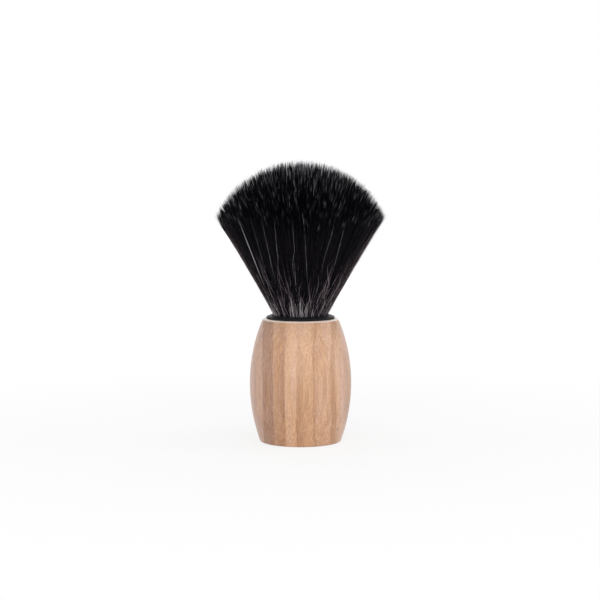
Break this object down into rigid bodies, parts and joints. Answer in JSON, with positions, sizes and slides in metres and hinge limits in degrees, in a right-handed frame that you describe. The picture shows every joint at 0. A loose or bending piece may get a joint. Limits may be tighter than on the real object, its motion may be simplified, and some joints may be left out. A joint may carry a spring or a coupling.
{
  "type": "shaving brush",
  "caption": "Shaving brush with a barrel-shaped wooden handle, a black ring and a splayed, domed head of black synthetic fibre.",
  "frame": {"origin": "centre of the handle's flat base", "axes": "+Z along the brush's axis from the base to the fibre tips, +Y away from the picture's camera"},
  "size_m": [0.0628, 0.0629, 0.1054],
  "materials": {
    "wood": "turned and sanded, oiled to a satin surface, straight grain along the handle",
    "glue": "cured epoxy, amber",
    "ring_plastic": "moulded black plastic, semi-gloss",
    "resin": "cast resin",
    "thread": "waxed cotton thread",
    "fibre": "fine black synthetic fibre with tapered tips"
  },
  "bodies": {
    "root": {"handle": "wood", "handle_adhesive": "glue", "knot_ring": "ring_plastic", "root_plug": "resin", "binding_thread": "thread", "fibre_bundle": "fibre"}
  },
  "joints": []
}
